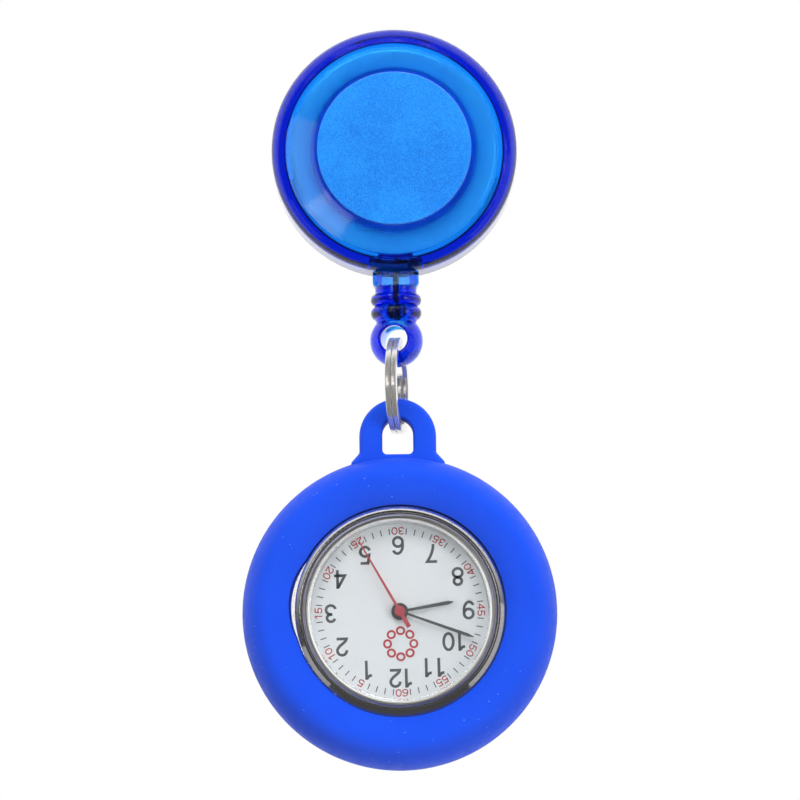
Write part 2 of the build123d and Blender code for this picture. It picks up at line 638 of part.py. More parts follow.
def gear(module, teeth, low, high, phase=0.0, bore=0.0, place=(0, 0)):
    """A toothed wheel, its first tooth at the phase angle in degrees."""
    pitch_radius = module * teeth / 2
    tip, root = pitch_radius + 0.85 * module, pitch_radius - 1.15 * module
    step = 360 / teeth
    points = []
    for tooth in range(teeth):
        middle = phase + tooth * step
        for radius, share in ((root, -0.30), (tip, -0.11), (tip, 0.11), (root, 0.30)):
            points.append(at(radius, middle + share * step))
    wheel = prism(points, low, high)
    if bore:
        wheel -= disc(bore, low, high)
    return Pos(place[0], place[1], 0) * wheel


def meshing(teeth, other_teeth, direction):
    """The phase of the other wheel when this one, in phase 0, meshes with it in that direction."""
    share = -direction / (360 / teeth)
    return direction + 180 + (0.5 - share) * 360 / other_teeth


THIRD_PLACE = at(TRAIN_DISTANCE, THIRD_DIRECTION)
INTERMEDIATE_PLACE = at(INTERMEDIATE_DISTANCE, INTERMEDIATE_DIRECTION)
ROTOR_PLACE = at(ROTOR_DISTANCE, ROTOR_DIRECTION, INTERMEDIATE_PLACE)
MINUTE_WHEEL_PLACE = at(MOTION_DISTANCE, MOTION_DIRECTION)
PIVOT_LOW = BRIDGE_LOW + 0.05
PIVOT_HIGH = PLATE_LOW + 0.4


def seconds_wheel():
    """The seconds wheel and pinion on the arbor that carries the second hand."""
    wheel = gear(0.09, 60, 4.70, 4.88) + gear(0.085, 8, 4.88, 5.30)
    return wheel + disc(SECONDS_ARBOR, PIVOT_LOW, 8.72)


def third_wheel():
    wheel = gear(0.085, 64, 5.02, 5.20, phase=meshing(8, 64, THIRD_DIRECTION)) + gear(0.09, 8, 5.20, 5.70)
    return Pos(*THIRD_PLACE, 0) * (wheel + disc(ARBOR_RADIUS, PIVOT_LOW, PIVOT_HIGH))


def center_wheel():
    """The centre wheel with its tube, the cannon pinion and the seat of the minute hand."""
    wheel = gear(0.09, 60, 5.45, 5.65, phase=meshing(8, 60, THIRD_DIRECTION + 180))
    wheel += gear(0.12, 10, PLATE_TOP + 0.04, 6.85) + disc(CANNON_RADIUS, 5.42, 8.45)
    return wheel - disc(CANNON_BORE, 5.42, 8.45)


def intermediate_wheel():
    wheel = gear(0.08, 40, 5.05, 5.23)
    wheel += gear(0.09, 10, 4.62, 5.05, phase=meshing(60, 10, INTERMEDIATE_DIRECTION))
    return Pos(*INTERMEDIATE_PLACE, 0) * (wheel + disc(ARBOR_RADIUS, PIVOT_LOW, PIVOT_HIGH))


def rotor_pinion():
    """The stepping motor's rotor shaft with its moulded pinion."""
    pinion = gear(0.08, 8, 4.98, 5.30, phase=meshing(40, 8, ROTOR_DIRECTION))
    return Pos(*ROTOR_PLACE, 0) * (pinion + disc(ARBOR_RADIUS, PIVOT_LOW, PIVOT_HIGH))


def rotor_magnet():
    return disc(0.7, 5.30, 5.80, bore=ARBOR_RADIUS, place=ROTOR_PLACE)


def minute_wheel():
    """The wheel under the dial that slows the cannon pinion down for the hour wheel."""
    wheel = gear(0.12, 30, 6.60, 6.80, phase=meshing(10, 30, MOTION_DIRECTION)) + gear(0.12, 8, 6.80, 7.08)
    return Pos(*MINUTE_WHEEL_PLACE, 0) * (wheel - disc(0.18, 6.60, 7.08))


def hour_wheel():
    """The hour wheel with the pipe that carries the hour hand."""
    wheel = gear(0.12, 32, 6.90, 7.08, phase=meshing(8, 32, MOTION_DIRECTION + 180))
    wheel += disc(PIPE_RADIUS, 6.90, 8.15)
    return wheel - disc(PIPE_BORE, 6.90, 8.15)


def mainplate():
    """The movement's main plate, with the battery's well, the coil's window and the pivot holes."""
    plate = movement_outline(0, PLATE_LOW, PLATE_TOP)
    plate -= disc(BATTERY_RADIUS + 0.1, PLATE_LOW, PLATE_TOP, place=BATTERY_PLACE)
    plate -= block((-8.2, -6.2), (-2.8, 3.6), (PLATE_LOW, PLATE_TOP))
    plate -= disc(CANNON_RADIUS + 0.05, PLATE_LOW, PLATE_TOP)
    for place in (THIRD_PLACE, INTERMEDIATE_PLACE, ROTOR_PLACE):
        plate -= disc(ARBOR_RADIUS + 0.03, PLATE_LOW, PLATE_TOP, place=place)
    return plate + disc(0.15, PLATE_TOP, 7.1, place=MINUTE_WHEEL_PLACE)


def train_bridge():
    """The bridge over the back of the train, on three pillars."""
    outline = [(-4.4, -5.9), (1.0, -5.9), (3.9, 0.0), (3.9, 4.6), (1.5, 5.2), (-4.4, 5.2)]
    bridge = prism(outline, BRIDGE_LOW, BRIDGE_TOP)
    for place in PILLARS:
        bridge += disc(0.6, BRIDGE_TOP, PLATE_LOW, place=place)
        bridge -= disc(0.25, BRIDGE_LOW, PLATE_LOW, place=place)
    bridge -= disc(BATTERY_RADIUS + 0.2, BRIDGE_LOW, BRIDGE_TOP, place=BATTERY_PLACE)
    bridge -= disc(SECONDS_ARBOR + 0.03, BRIDGE_LOW, BRIDGE_TOP)
    for place in (THIRD_PLACE, INTERMEDIATE_PLACE, ROTOR_PLACE):
        bridge -= disc(ARBOR_RADIUS + 0.03, BRIDGE_LOW, BRIDGE_TOP, place=place)
    return bridge


def bridge_screws():
    """The three screws through the bridge's pillars."""
    screws = []
    for place in PILLARS:
        screw = disc(0.55, BOARD_LOW, BRIDGE_LOW, place=place)
        screw += disc(0.25, BRIDGE_LOW, PLATE_LOW, place=place)
        slot = block((-0.6, 0.6), (-0.07, 0.07), (BOARD_LOW, BOARD_LOW + 0.12))
        screws.append(screw - Pos(place[0], place[1], 0) * slot)
    return Compound(children=screws)


def circuit_board():
    """The board on the bridge's back, cut out for the battery and the screw heads."""
    board = movement_outline(-0.1, BOARD_LOW, BRIDGE_LOW)
    board -= disc(BATTERY_RADIUS + 0.2, BOARD_LOW, BRIDGE_LOW, place=BATTERY_PLACE)
    for place in PILLARS:
        board -= disc(0.7, BOARD_LOW, BRIDGE_LOW, place=place)
    return board


def microchip():
    """The drop of black resin over the chip."""
    radius, height = 1.4, 0.5
    below = (Align.CENTER, Align.CENTER, Align.MAX)
    drop = scale(Sphere(radius), by=(1, 1, height / radius)) & Box(4, 4, 4, align=below)
    return Pos(-4.6, 5.4, BOARD_LOW) * drop


def quartz_resonator():
    """The quartz crystal's small can, lying under the main plate."""
    radius, near, far, height = 0.75, 0.5, 5.5, 6.2
    can = Pos(near, height, 5.1) * Rot(0, 90, 0) * Cylinder(radius, far - near, align=ON_BASE)
    return fillet(can.edges().filter_by(GeomType.CIRCLE), 0.15)


def battery():
    top = BOARD_LOW + 2.6
    cell = turned((0, BOARD_LOW), (BATTERY_RADIUS, BOARD_LOW), (BATTERY_RADIUS, top - 0.4), (2.9, top - 0.4),
                  (2.9, top), (0, top), rounding={1: 0.2})
    return Pos(*BATTERY_PLACE, 0) * cell


def battery_strap():
    """The spring strap that holds the battery in."""
    half_length, half_width = 4.4, 0.8
    strap = block((-half_length, half_length), (-half_width, half_width), (BOARD_LOW - 0.2, BOARD_LOW))
    return Pos(*BATTERY_PLACE, 0) * Rot(0, 0, 45) * strap


def stator():
    """The stepping motor's pole plate, round the rotor and out to both ends of the coil's core."""
    low, high = 5.35, 5.75
    plate = block((-8.0, -1.0), (-5.4, -2.9), (low, high)) + block((-5.4, -4.3), (-2.9, 4.8), (low, high))
    plate += block((-8.0, -4.3), (3.7, 4.8), (low, high))
    return plate - disc(0.85, low, high, place=ROTOR_PLACE)


def coil_core():
    return block((-7.6, -6.8), (-5.4, 4.8), (5.05, 5.35))


def coil_winding():
    """The copper winding round the core."""
    radius, low_end, high_end = 0.85, -2.7, 3.5
    bobbin = Cylinder(radius, high_end - low_end, align=ON_BASE)
    winding = Pos(-7.2, high_end, STEM_DEPTH) * Rot(90, 0, 0) * bobbin
    return winding - coil_core()


# ---------------------------------------------------------------- the written parts

PLACED = (clip_base, clip_lever, clip_pin, clip_spring, cord_run, cord_knot, cord_bead, split_ring)
ON_THE_REEL = (swivel_rivet, swivel_washer, reel_back_cover, reel_front_cover, cord_drum, cord_winding,
               spiral_spring)
IN_THE_WATCH = (
    silicone_case, watch_case, case_back, case_back_gasket, crystal, crystal_gasket, rehaut_ring, dial,
    movement_holder, crown, crown_gasket, winding_stem, setting_lever, hour_hand, minute_hand, second_hand,
    seconds_wheel, third_wheel, center_wheel, intermediate_wheel, rotor_pinion, rotor_magnet, minute_wheel,
    hour_wheel, mainplate, train_bridge, bridge_screws, circuit_board, microchip, quartz_resonator, battery,
    battery_strap, stator, coil_core, coil_winding,
)

for make in PLACED:
    save(make.__name__, make())
for make in ON_THE_REEL:
    save(make.__name__, REEL_FRAME * make())
for make in IN_THE_WATCH:
    save(make.__name__, WATCH_FRAME * make())
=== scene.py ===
from math import cos, pi, radians, sin

import bmesh
import bpy
from mathutils import Matrix, Vector

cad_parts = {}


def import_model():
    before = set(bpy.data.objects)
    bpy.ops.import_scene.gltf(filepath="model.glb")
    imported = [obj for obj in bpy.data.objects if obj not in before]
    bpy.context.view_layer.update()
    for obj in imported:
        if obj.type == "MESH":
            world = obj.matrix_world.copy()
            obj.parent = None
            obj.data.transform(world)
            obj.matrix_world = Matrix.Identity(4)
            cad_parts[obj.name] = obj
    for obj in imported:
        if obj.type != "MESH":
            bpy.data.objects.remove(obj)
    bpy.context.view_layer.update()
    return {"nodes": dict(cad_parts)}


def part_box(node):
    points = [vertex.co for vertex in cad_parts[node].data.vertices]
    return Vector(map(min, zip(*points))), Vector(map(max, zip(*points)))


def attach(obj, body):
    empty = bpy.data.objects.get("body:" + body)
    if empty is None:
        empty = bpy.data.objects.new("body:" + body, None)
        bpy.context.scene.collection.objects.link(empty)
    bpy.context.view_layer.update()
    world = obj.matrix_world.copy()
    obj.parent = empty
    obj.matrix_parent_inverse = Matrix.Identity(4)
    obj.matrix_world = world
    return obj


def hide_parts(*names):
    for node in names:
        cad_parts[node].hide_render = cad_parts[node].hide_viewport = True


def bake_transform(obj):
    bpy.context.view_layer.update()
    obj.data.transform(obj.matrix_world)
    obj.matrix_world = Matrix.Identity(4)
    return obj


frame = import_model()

MM = 0.001

# ---------------------------------------------------------------- where things are

REEL_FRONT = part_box("reel_front_cover")[0].y
DISC_RADIUS, DISC_EDGE = 10.05 * MM, 0.04 * MM
# Radii of the painted shade ring at the groove round the disc.
GROOVE_SHADE_NEAR, GROOVE_SHADE_FAR = 10.12 * MM, 10.75 * MM
DIAL_LOW, DIAL_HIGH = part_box("dial")
DIAL_FRONT = DIAL_LOW.y
BEZEL_RADIUS = 12.53 * MM
WATCH_HEIGHT = (DIAL_LOW.z + DIAL_HIGH.z) / 2
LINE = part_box("cord_knot")
LINE_Y = (LINE[0].y + LINE[1].y) / 2
KNOT_TOP = LINE[1].z
KNOT_MIDDLE = (LINE[0].z + LINE[1].z) / 2
WINDING_LOW, WINDING_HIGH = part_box("cord_winding")
RING_LOW, RING_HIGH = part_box("split_ring")
RING_CENTRE = (RING_LOW + RING_HIGH) / 2


# ---------------------------------------------------------------- shader helpers

class Finish:
    """A material with a Principled shader, and short calls that add nodes to it."""

    def __init__(self, name, **sockets):
        self.material = bpy.data.materials.new(name)
        self.material.use_nodes = True
        self.tree = self.material.node_tree
        self.shader = self.tree.nodes["Principled BSDF"]
        self.output = self.tree.nodes["Material Output"]
        self.place = self.node("ShaderNodeTexCoord").outputs["Object"]
        for socket, value in sockets.items():
            self.shader.inputs[socket.replace("_", " ")].default_value = value

    def node(self, kind, inputs=(), **settings):
        node = self.tree.nodes.new(kind)
        for setting, value in settings.items():
            setattr(node, setting, value)
        for socket, value in dict(inputs).items():
            if isinstance(value, bpy.types.NodeSocket):
                self.tree.links.new(value, node.inputs[socket])
            else:
                node.inputs[socket].default_value = value
        return node

    def link(self, value, socket):
        self.tree.links.new(value, self.shader.inputs[socket])

    def stretched(self, stretch):
        """The place in the object, scaled along each axis."""
        return self.node("ShaderNodeMapping", {"Vector": self.place, "Scale": stretch}).outputs["Vector"]

    def noise(self, size, detail=3.0, stretch=None, distortion=0.0):
        """Noise from 0 to 1, with features about so many millimetres across."""
        place = self.stretched(stretch) if stretch else self.place
        inputs = {"Vector": place, "Scale": 1 / (size * MM), "Detail": detail, "Distortion": distortion}
        return self.node("ShaderNodeTexNoise", inputs).outputs["Fac"]

    def specks(self, size, share):
        """1 on small scattered specks, each about so many millimetres across, and 0 elsewhere."""
        spots = self.node("ShaderNodeTexVoronoi", {"Vector": self.place, "Scale": share / (size * MM)})
        return self.remap(spots.outputs["Distance"], share * 0.55, share * 0.3, 0.0, 1.0)

    def remap(self, value, low, high, to_low, to_high, smooth=True):
        inputs = {"Value": value, "From Min": low, "From Max": high, "To Min": to_low, "To Max": to_high}
        kind = "SMOOTHSTEP" if smooth else "LINEAR"
        return self.node("ShaderNodeMapRange", inputs, interpolation_type=kind).outputs["Result"]

    def maths(self, operation, first, second=0.0):
        node = self.node("ShaderNodeMath", {0: first, 1: second}, operation=operation)
        return node.outputs["Value"]

    def blend(self, share, dark, light):
        """A colour between two colours."""
        node = self.node("ShaderNodeMix", data_type="RGBA")
        for socket, value in ((node.inputs[0], share), (node.inputs[6], dark), (node.inputs[7], light)):
            if isinstance(value, bpy.types.NodeSocket):
                self.tree.links.new(value, socket)
            else:
                socket.default_value = value
        return node.outputs[2]

    def axis_distance(self, height):
        """The distance from a line along Y, in the middle at a height."""
        moved = self.node("ShaderNodeVectorMath", {0: self.place, 1: (0, 0, -height)})
        flat = self.node("ShaderNodeVectorMath", {0: moved.outputs["Vector"], 1: (1, 0, 1)},
                         operation="MULTIPLY")
        length = self.node("ShaderNodeVectorMath", {0: flat.outputs["Vector"]}, operation="LENGTH")
        return length.outputs["Value"]

    def part(self, axis):
        """One coordinate of the place in the object."""
        return self.node("ShaderNodeSeparateXYZ", {"Vector": self.place}).outputs[axis]

    def bump(self, height, depth, strength=1.0):
        """Relief of so many millimetres, on top of any that is there already."""
        inputs = {"Height": height, "Distance": depth * MM, "Strength": strength}
        links = self.shader.inputs["Normal"].links
        if links:
            inputs["Normal"] = links[0].from_socket
        self.link(self.node("ShaderNodeBump", inputs).outputs["Normal"], "Normal")


def colour(red, green, blue):
    """A linear colour from 8-bit display values."""
    def linear(value):
        value /= 255
        return value / 12.92 if value <= 0.04045 else ((value + 0.055) / 1.055) ** 2.4
    return linear(red), linear(green), linear(blue), 1.0


def surface(name, dark, light, patch, rough, grain, relief, stretch=None, **sockets):
    """Two tones in soft patches, gloss that varies between two values, and fine relief."""
    finish = Finish(name, **sockets)
    finish.link(finish.blend(finish.noise(patch), dark, light), "Base Color")
    wear = finish.noise(patch * 0.4, detail=5.0, stretch=stretch)
    finish.link(finish.remap(wear, 0.25, 0.75, *rough), "Roughness")
    finish.bump(finish.noise(grain, detail=4.0, stretch=stretch), relief)
    return finish


def scratched(finish, size, depth):
    """Hairline scratches in two directions."""
    for stretch in ((12, 1, 1), (1, 1, 14)):
        lines = finish.noise(size, detail=1.0, stretch=stretch)
        finish.bump(finish.remap(lines, 0.62, 0.72, 0.0, 1.0), depth)
    return finish


# ---------------------------------------------------------------- materials

def translucent(name, tint, density, base):
    """Glossy translucent plastic, darker where it is thicker, with faint moulding flow."""
    finish = Finish(name, IOR=1.49, Transmission_Weight=1.0)
    finish.link(finish.blend(finish.noise(6.0), base, (1.0, 1.0, 1.0, 1.0)), "Base Color")
    absorb = finish.node("ShaderNodeVolumeAbsorption")
    absorb.inputs["Color"].default_value = tint
    absorb.inputs["Density"].default_value = density
    finish.tree.links.new(absorb.outputs["Volume"], finish.output.inputs["Volume"])
    return finish


def reel_front():
    """The front shell's plastic: glossy, with a frosted disc in the middle and painted shade tinting a ring
    at the groove round it.
    """
    finish = translucent("reel_blue_front", (0.0, 0.735, 0.985, 1.0), 1500.0, (0.85, 0.87, 1.0, 1.0))
    radius = finish.axis_distance(0.0)
    inside = finish.remap(radius, DISC_RADIUS + DISC_EDGE, DISC_RADIUS - DISC_EDGE, 0.0, 1.0)
    facing = finish.remap(finish.part("Y"), REEL_FRONT + 0.12 * MM, REEL_FRONT + 0.02 * MM, 0.0, 1.0)
    frosted = finish.maths("MULTIPLY", inside, facing)
    polish = finish.remap(finish.noise(2.5, detail=5.0), 0.3, 0.7, 0.03, 0.07)
    frost = finish.remap(finish.noise(0.25), 0.3, 0.7, 0.34, 0.46)
    gloss = finish.node("ShaderNodeMix", {0: frosted, 2: polish, 3: frost}).outputs[0]
    finish.link(gloss, "Roughness")
    speckle = finish.noise(0.14, detail=2.0)
    grains = finish.remap(speckle, 0.40, 0.60, 0.0, 0.75)
    clouded = finish.maths("ADD", grains, finish.remap(finish.noise(7.0), 0.35, 0.65, 0.0, 0.25))
    clear = finish.shader.inputs["Base Color"].links[0].from_socket
    # Painted shade: a darker blue tint on the ring at the groove round the disc, where shade falls in the
    # recess.
    groove_shade = finish.maths("MULTIPLY", finish.remap(radius, GROOVE_SHADE_NEAR - 0.06 * MM, GROOVE_SHADE_NEAR, 0.0, 1.0),
                          finish.remap(radius, GROOVE_SHADE_FAR, GROOVE_SHADE_NEAR + 0.15 * MM, 0.0, 1.0))
    clear = finish.blend(groove_shade, clear, (0.45, 0.56, 0.96, 1.0))
    frost_colour = finish.blend(clouded, (0.003, 0.154, 0.600, 1.0), (0.014, 0.306, 0.860, 1.0))
    finish.link(finish.blend(frosted, clear, frost_colour), "Base Color")
    finish.link(finish.remap(frosted, 0.0, 1.0, 1.0, 0.35), "Transmission Weight")
    finish.link(finish.remap(frosted, 0.0, 1.0, 0.42, 0.2), "Specular IOR Level")
    finish.bump(finish.maths("MULTIPLY", speckle, frosted), 0.02)
    finish.bump(finish.noise(7.0, detail=1.0), 0.02)
    return finish


def reel_back():
    finish = translucent("reel_blue_back", (0.04, 0.66, 0.935, 1.0), 1900.0, (0.66, 0.78, 1.0, 1.0))
    finish.link(finish.remap(finish.noise(2.0, detail=5.0), 0.3, 0.7, 0.05, 0.12), "Roughness")
    finish.bump(finish.noise(5.0, detail=1.0), 0.02)
    return finish


def bead_plastic():
    finish = translucent("bead_blue", (0.0, 0.63, 0.965, 1.0), 2200.0, (0.25, 0.85, 1.0, 1.0))
    finish.shader.inputs["Specular IOR Level"].default_value = 0.28
    finish.link(finish.remap(finish.noise(1.0, detail=5.0), 0.3, 0.7, 0.04, 0.12), "Roughness")
    finish.bump(finish.noise(1.5, detail=2.0), 0.02)
    return finish


def silicone():
    """Matte silicone rubber with a soft sheen and a few bright grains of dust."""
    finish = Finish("silicone_blue", Subsurface_Weight=0.08, Subsurface_Scale=0.4 * MM,
                    Sheen_Weight=0.02, Sheen_Roughness=0.5, Specular_IOR_Level=0.22)
    finish.shader.inputs["Subsurface Radius"].default_value = (0.3, 0.5, 1.0)
    body = finish.blend(finish.noise(9.0), (0.0060, 0.048, 0.49, 1.0), (0.0085, 0.060, 0.57, 1.0))
    dusty = finish.remap(finish.noise(4.0), 0.5, 0.6, 0.0, 0.7)
    dust = finish.maths("MULTIPLY", finish.specks(0.16, 0.16), dusty)
    finish.link(finish.blend(dust, body, colour(120, 160, 255)), "Base Color")
    finish.link(finish.remap(finish.noise(1.2, detail=6.0), 0.3, 0.7, 0.50, 0.62), "Roughness")
    finish.bump(finish.noise(0.12, detail=4.0), 0.006)
    finish.bump(finish.noise(3.0, detail=2.0), 0.03)
    return finish


def metal(name, dark, light, rough, grain, relief, stretch=None, scratch=0.0):
    finish = surface(name, dark, light, 4.0, rough, grain, relief, stretch=stretch, Metallic=1.0)
    return scratched(finish, 0.9, scratch) if scratch else finish


def case_plating():
    """Bright plating, mirror-like on the flank and satin on the bezel that holds the crystal."""
    finish = metal("case_chrome", (0.66, 0.65, 0.64, 1), (0.80, 0.79, 0.78, 1), (0.03, 0.09), 0.8, 0.002,
                   scratch=0.002)
    radius = finish.axis_distance(WATCH_HEIGHT)
    satin = finish.remap(radius, BEZEL_RADIUS + 0.1 * MM, BEZEL_RADIUS + 0.05 * MM, 0.0, 1.0)
    polish = finish.shader.inputs["Roughness"].links[0].from_socket
    tone = finish.shader.inputs["Base Color"].links[0].from_socket
    brushed = finish.remap(finish.noise(0.6, detail=5.0), 0.3, 0.7, 0.34, 0.44)
    finish.link(finish.node("ShaderNodeMix", {0: satin, 2: polish, 3: brushed}).outputs[0], "Roughness")
    finish.link(finish.blend(satin, tone, (0.95, 0.93, 0.89, 1.0)), "Base Color")
    return finish


def turned_steel():
    """Steel turned on a lathe, with fine concentric lines and scratches."""
    finish = metal("back_steel", (0.53, 0.53, 0.54, 1), (0.60, 0.60, 0.61, 1), (0.20, 0.30), 0.3, 0.003,
                   scratch=0.003)
    inputs = {"W": finish.axis_distance(WATCH_HEIGHT), "Scale": 1 / (0.16 * MM), "Detail": 2.0}
    lines = finish.node("ShaderNodeTexNoise", inputs, noise_dimensions="1D").outputs["Fac"]
    finish.bump(lines, 0.012)
    return finish


def ring_plating():
    """Bright nickel with a milky lustre and fine scratches."""
    finish = surface("ring_nickel", (0.66, 0.64, 0.61, 1), (0.82, 0.80, 0.77, 1), 4.0, (0.10, 0.22), 0.3,
                     0.003, Metallic=0.8)
    return scratched(finish, 0.9, 0.003)


def braid():
    """Black braided cord: slanting strands in both directions."""
    finish = surface("cord_black", (0.006, 0.006, 0.009, 1.0), (0.022, 0.022, 0.030, 1.0), 0.3,
                     (0.55, 0.8), 0.05, 0.01, Sheen_Weight=0.3)
    for slant in (-0.6, 0.6):
        turned = finish.node("ShaderNodeMapping", {"Vector": finish.place, "Rotation": (0.0, slant, 0.0)})
        inputs = {"Vector": turned.outputs["Vector"], "Scale": 0.5 / MM, "Distortion": 0.6}
        strands = finish.node("ShaderNodeTexWave", inputs, bands_direction="Z")
        finish.bump(strands.outputs["Fac"], 0.04)
    return finish


def crystal_glass():
    """Clear mineral glass with a trace of smears."""
    finish = Finish("crystal_glass", IOR=1.5, Transmission_Weight=1.0)
    finish.link(finish.blend(finish.noise(5.0), (0.97, 0.99, 1.0, 1.0), (1.0, 1.0, 1.0, 1.0)), "Base Color")
    finish.link(finish.remap(finish.noise(3.0, detail=6.0), 0.45, 0.75, 0.0, 0.03), "Roughness")
    finish.bump(finish.noise(6.0, detail=1.0), 0.002)
    return finish


def ridged(name, dark, light, pitch, along, rough, depth, **sockets):
    """Fine ridges side by side, such as wound wire or a turned face."""
    finish = surface(name, dark, light, 1.5, rough, 0.1, 0.005, **sockets)
    inputs = {"Vector": finish.place, "Scale": 0.05 / (pitch * MM), "Distortion": 0.3}
    lines = finish.node("ShaderNodeTexWave", inputs, bands_direction=along)
    finish.bump(lines.outputs["Fac"], depth)
    return finish


def board():
    """Green lacquered circuit board with copper tracks."""
    finish = surface("board_green", (0.004, 0.06, 0.022, 1.0), (0.008, 0.11, 0.04, 1.0), 2.0,
                     (0.22, 0.38), 0.3, 0.01)
    tracks = finish.node("ShaderNodeTexBrick", {"Vector": finish.place, "Scale": 1 / (2.2 * MM),
                                                "Mortar Size": 0.06, "Brick Width": 0.9, "Row Height": 0.5})
    lines = finish.remap(tracks.outputs["Fac"], 0.2, 0.8, 0.0, 1.0)
    body = finish.shader.inputs["Base Color"].links[0].from_socket
    finish.link(finish.blend(lines, body, (0.10, 0.22, 0.05, 1.0)), "Base Color")
    finish.bump(lines, 0.03)
    return finish


def paint(name, dark, light, rough, relief=0.004, **sockets):
    """Printed or lacquered colour with a fine grain."""
    return surface(name, dark, light, 1.2, rough, 0.08, relief, **sockets)


MATERIALS = {
    "clip_steel": metal("clip_steel", (0.56, 0.56, 0.57, 1), (0.61, 0.61, 0.62, 1), (0.16, 0.24), 0.5, 0.004,
                        scratch=0.004),
    "spring_steel": metal("spring_steel", (0.33, 0.34, 0.36, 1), (0.52, 0.53, 0.55, 1), (0.22, 0.40), 0.2,
                          0.004),
    "washer_nylon": paint("washer_nylon", (0.62, 0.62, 0.60, 1), (0.74, 0.74, 0.72, 1), (0.42, 0.60)),
    "reel_blue_front": reel_front(),
    "reel_blue_back": reel_back(),
    "drum_white": paint("drum_white", (0.84, 0.87, 0.93, 1), (0.90, 0.93, 0.98, 1), (0.35, 0.5), relief=0.01),
    "cord_black": braid(),
    "bead_blue": bead_plastic(),
    "ring_nickel": ring_plating(),
    "silicone_blue": silicone(),
    "case_chrome": case_plating(),
    "back_steel": turned_steel(),
    "gasket_black": paint("gasket_black", (0.010, 0.010, 0.011, 1), (0.026, 0.026, 0.028, 1), (0.55, 0.75)),
    "crystal_glass": crystal_glass(),
    "gasket_white": paint("gasket_white", (0.66, 0.67, 0.68, 1), (0.78, 0.79, 0.80, 1), (0.4, 0.55)),
    "rehaut_grey": paint("rehaut_grey", (0.60, 0.61, 0.62, 1), (0.72, 0.73, 0.74, 1), (0.25, 0.4)),
    "dial_white": paint("dial_white", (0.83, 0.86, 0.88, 1), (0.89, 0.92, 0.94, 1), (0.45, 0.6)),
    "holder_white": paint("holder_white", (0.68, 0.69, 0.68, 1), (0.78, 0.79, 0.78, 1), (0.4, 0.6)),
    "stem_steel": metal("stem_steel", (0.42, 0.42, 0.43, 1), (0.60, 0.60, 0.61, 1), (0.16, 0.3), 0.2, 0.004),
    "hand_grey": paint("hand_grey", (0.095, 0.10, 0.102, 1), (0.14, 0.147, 0.15, 1), (0.25, 0.4),
                       Coat_Weight=0.3),
    "hand_red": paint("hand_red", (0.48, 0.075, 0.09, 1), (0.60, 0.12, 0.14, 1), (0.3, 0.45),
                      Coat_Weight=0.3),
    "gear_plastic": paint("gear_plastic", (0.60, 0.58, 0.52, 1), (0.72, 0.70, 0.64, 1), (0.3, 0.45)),
    "gear_brass": metal("gear_brass", (0.55, 0.38, 0.15, 1), (0.72, 0.53, 0.24, 1), (0.18, 0.32), 0.2, 0.004),
    "magnet_grey": metal("magnet_grey", (0.22, 0.22, 0.24, 1), (0.34, 0.34, 0.36, 1), (0.3, 0.45), 0.2,
                         0.004),
    "plate_brass": metal("plate_brass", (0.50, 0.36, 0.16, 1), (0.66, 0.50, 0.24, 1), (0.2, 0.34), 0.25,
                         0.004, stretch=(1, 1, 9)),
    "board_green": board(),
    "resin_black": paint("resin_black", (0.008, 0.008, 0.009, 1), (0.02, 0.02, 0.022, 1), (0.12, 0.3)),
    "stator_iron": metal("stator_iron", (0.36, 0.36, 0.38, 1), (0.5, 0.5, 0.52, 1), (0.28, 0.42), 0.2, 0.004),
    "coil_copper": ridged("coil_copper", (0.52, 0.16, 0.05, 1), (0.74, 0.30, 0.12, 1), 0.1, "Z",
                          (0.2, 0.35), 0.03, Metallic=1.0),
}
INK_GREY = paint("ink_grey", (0.095, 0.102, 0.110, 1), (0.135, 0.143, 0.150, 1), (0.35, 0.5))
INK_RED = paint("ink_red", (0.46, 0.06, 0.07, 1), (0.60, 0.11, 0.12, 1), (0.35, 0.5))

for node in frame["nodes"].values():
    for place in node.material_slots:
        place.material = MATERIALS[place.material.name.split(".")[0]].material


# ---------------------------------------------------------------- mesh helpers

def add_object(name, data):
    piece = bpy.data.objects.new(name, data)
    bpy.context.scene.collection.objects.link(piece)
    return piece


def mesh_object(name, mesh, finish, smooth=True):
    data = bpy.data.meshes.new(name)
    bmesh.ops.recalc_face_normals(mesh, faces=mesh.faces)
    mesh.to_mesh(data)
    mesh.free()
    data.materials.append(finish.material)
    for face in data.polygons:
        face.use_smooth = smooth
    return add_object(name, data)


def cord_curve(name, points, diameter, finish, cyclic=False):
    """A round cord that runs smoothly through the curve of these points."""
    data = bpy.data.curves.new(name, "CURVE")
    data.dimensions = "3D"
    data.bevel_depth = diameter / 2
    data.bevel_resolution = 5
    data.resolution_u = 8
    data.use_fill_caps = True
    spline = data.splines.new("NURBS")
    spline.points.add(len(points) - 1)
    for point, where in zip(spline.points, points):
        point.co = (*where, 1.0)
    spline.use_cyclic_u = cyclic
    spline.use_endpoint_u = not cyclic
    spline.order_u = 3
    data.materials.append(finish.material)
    return add_object(name, data)


def as_mesh(piece):
    """The same piece as a mesh, so that its points can follow two bodies."""
    data = bpy.data.meshes.new_from_object(piece.evaluated_get(bpy.context.evaluated_depsgraph_get()))
    name = piece.name
    bpy.data.objects.remove(piece)
    return add_object(name, data)


# ---------------------------------------------------------------- dial print

PRINT_TURN = -0.8
HOUR_RADIUS, MINUTE_RADIUS = 8.65, 10.55
HOUR_RADII = {2: 8.8, 3: 9.0, 4: 8.8, 8: 8.8, 9: 8.9, 10: 8.1, 11: 8.5}
HOUR_HEIGHT, MINUTE_HEIGHT, MINUTE_WIDENING = 2.48 * MM, 1.0 * MM, 1.3
INWARD_FROM, INWARD_TO = 20, 40
TICK_NEAR, TICK_FAR, TICK_WIDTH = 10.1, 10.9, 0.13 * MM
INK_THICKNESS = 0.015 * MM

STROKE = 0.145
DIGIT_PITCH, DIGIT_MIDDLE = 0.66, 0.33
ARC_STEP = 9

